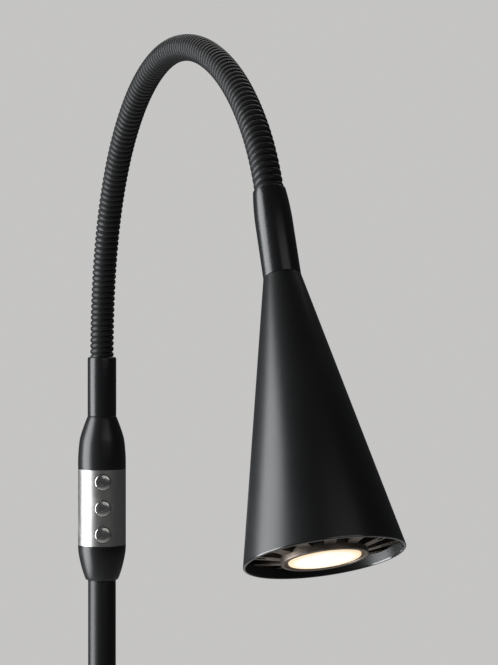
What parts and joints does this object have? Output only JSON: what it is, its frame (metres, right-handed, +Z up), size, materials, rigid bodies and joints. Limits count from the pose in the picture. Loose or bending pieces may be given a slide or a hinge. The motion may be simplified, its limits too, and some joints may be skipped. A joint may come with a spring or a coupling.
{
  "type": "gooseneck reading floor lamp",
  "caption": "Floor lamp with a weighted round base, slim pole, push-button switch housing, bendable ribbed neck and a narrow cone shade round a spot bulb.",
  "frame": {"origin": "centre of the base's underside, on the floor", "axes": "+Z up along the pole; the neck arches over towards -Y; +X completes the right-handed frame"},
  "size_m": [0.23, 0.3787, 1.2676],
  "materials": {
    "base_pad_rubber": "matte soft pad",
    "base_weight_iron": "raw casting",
    "base_cover_black": "satin black powder coat",
    "pole_foot_black": "satin black powder coat",
    "screw_steel": "zinc plated",
    "inlet_plastic": "moulded",
    "inlet_pin_brass": "nickel over brass",
    "pole_black": "satin black powder coat",
    "coupler_steel": "turned",
    "lead_black": "smooth sheath",
    "switch_shell_black": "smooth satin black",
    "switch_band_chrome": "satin chrome",
    "chassis_plastic": "moulded",
    "board_green": "circuit board",
    "key_switch_plastic": "moulded",
    "button_silver": "satin chrome",
    "neck_sleeve_black": "satin black",
    "neck_black": "satin black",
    "collar_black": "satin black",
    "shade_black": "matt black powder coat",
    "holder_tube_black": "matt black",
    "holder_ceramic": "unglazed ceramic",
    "contact_brass": "sprung brass",
    "bulb_cap_white": "moulded",
    "bulb_pin_steel": "plated",
    "heatsink_aluminium": "bare cast aluminium",
    "led_board_white": "white board",
    "lens_glass": "glowing warm white, clear moulded lens",
    "bezel_plastic": "thin ring"
  },
  "bodies": {
    "stand": {"base_pad": "base_pad_rubber", "base_weight": "base_weight_iron", "base_cover": "base_cover_black", "pole_foot": "pole_foot_black", "foot_screws": "screw_steel", "dc_inlet": "inlet_plastic", "dc_inlet_pin": "inlet_pin_brass", "lower_pole": "pole_black", "upper_pole": "pole_black", "pole_coupler": "coupler_steel", "pole_plug": "coupler_steel", "pole_nut": "screw_steel", "supply_lead": "lead_black", "switch_lower_shell": "switch_shell_black", "switch_upper_shell": "switch_shell_black", "switch_ties": "screw_steel", "switch_band": "switch_band_chrome", "switch_chassis": "chassis_plastic", "switch_board": "board_green", "key_switches": "key_switch_plastic", "neck_sleeve": "neck_sleeve_black", "sleeve_nut": "screw_steel", "neck_link_01": "neck_black", "neck_lead": "lead_black"},
    "lower_button_cap": {"lower_button": "button_silver"},
    "middle_button_cap": {"middle_button": "button_silver"},
    "upper_button_cap": {"upper_button": "button_silver"},
    "link_02": {"neck_link_02": "neck_black"},
    "link_03": {"neck_link_03": "neck_black"},
    "link_04": {"neck_link_04": "neck_black"},
    "link_05": {"neck_link_05": "neck_black"},
    "link_06": {"neck_link_06": "neck_black"},
    "link_07": {"neck_link_07": "neck_black"},
    "link_08": {"neck_link_08": "neck_black"},
    "link_09": {"neck_link_09": "neck_black"},
    "head": {"neck_link_10": "neck_black", "head_collar": "collar_black", "head_nipple": "coupler_steel", "shade": "shade_black", "shade_nut": "screw_steel", "holder_tube": "holder_tube_black", "holder_screws": "screw_steel", "lamp_holder": "holder_ceramic", "holder_contacts": "contact_brass", "bulb_cap": "bulb_cap_white", "bulb_pins": "bulb_pin_steel", "bulb_heatsink": "heatsink_aluminium", "bulb_led": "led_board_white", "bulb_lens": "lens_glass", "bulb_bezel": "bezel_plastic"}
  },
  "joints": [
    {"name": "neck_pitch_1", "type": "hinge", "parent": "stand", "child": "link_02", "pos_m": [0, -0.00208, 1.16772], "axis": [1, 0, 0], "range_deg": [-27, 11], "deforming": ["neck_lead"]},
    {"name": "neck_side_2", "type": "hinge", "parent": "link_02", "child": "link_03", "pos_m": [0, -0.00906, 1.19636], "axis": [0, 0.9438, 0.3305], "range_deg": [-20, 20]},
    {"name": "neck_pitch_3", "type": "hinge", "parent": "link_03", "child": "link_04", "pos_m": [0, -0.02227, 1.22267], "axis": [1, 0, 0], "range_deg": [-27, 11]},
    {"name": "neck_pitch_4", "type": "hinge", "parent": "link_04", "child": "link_05", "pos_m": [0, -0.04225, 1.24424], "axis": [1, 0, 0], "range_deg": [-27, 11]},
    {"name": "neck_side_5", "type": "hinge", "parent": "link_05", "child": "link_06", "pos_m": [0, -0.06808, 1.25821], "axis": [0, 0.3156, 0.9489], "range_deg": [-20, 20]},
    {"name": "neck_pitch_6", "type": "hinge", "parent": "link_06", "child": "link_07", "pos_m": [0, -0.09715, 1.2623], "axis": [1, 0, 0], "range_deg": [-27, 11]},
    {"name": "neck_pitch_7", "type": "hinge", "parent": "link_07", "child": "link_08", "pos_m": [0, -0.12605, 1.25679], "axis": [1, 0, 0], "range_deg": [-27, 11]},
    {"name": "neck_side_8", "type": "hinge", "parent": "link_08", "child": "link_09", "pos_m": [-0.00005, -0.15241, 1.24367], "axis": [0.0004, 0.5548, -0.832], "range_deg": [-20, 20]},
    {"name": "neck_pitch_9", "type": "hinge", "parent": "link_09", "child": "head", "pos_m": [-0.0002, -0.17445, 1.22417], "axis": [1, -0.0057, -0.0039], "range_deg": [-27, 11]},
    {"name": "lower_button_press", "type": "slide", "parent": "stand", "child": "lower_button_cap", "axis": [0.2756, 0.9613, 0], "range_m": [0, 0.0006], "stiffness_N_per_m": 2000, "springref_m": -0.0004},
    {"name": "middle_button_press", "type": "slide", "parent": "stand", "child": "middle_button_cap", "axis": [0.2756, 0.9613, 0], "range_m": [0, 0.0006], "stiffness_N_per_m": 2000, "springref_m": -0.0004},
    {"name": "upper_button_press", "type": "slide", "parent": "stand", "child": "upper_button_cap", "axis": [0.2756, 0.9613, 0], "range_m": [0, 0.0006], "stiffness_N_per_m": 2000, "springref_m": -0.0004}
  ]
}
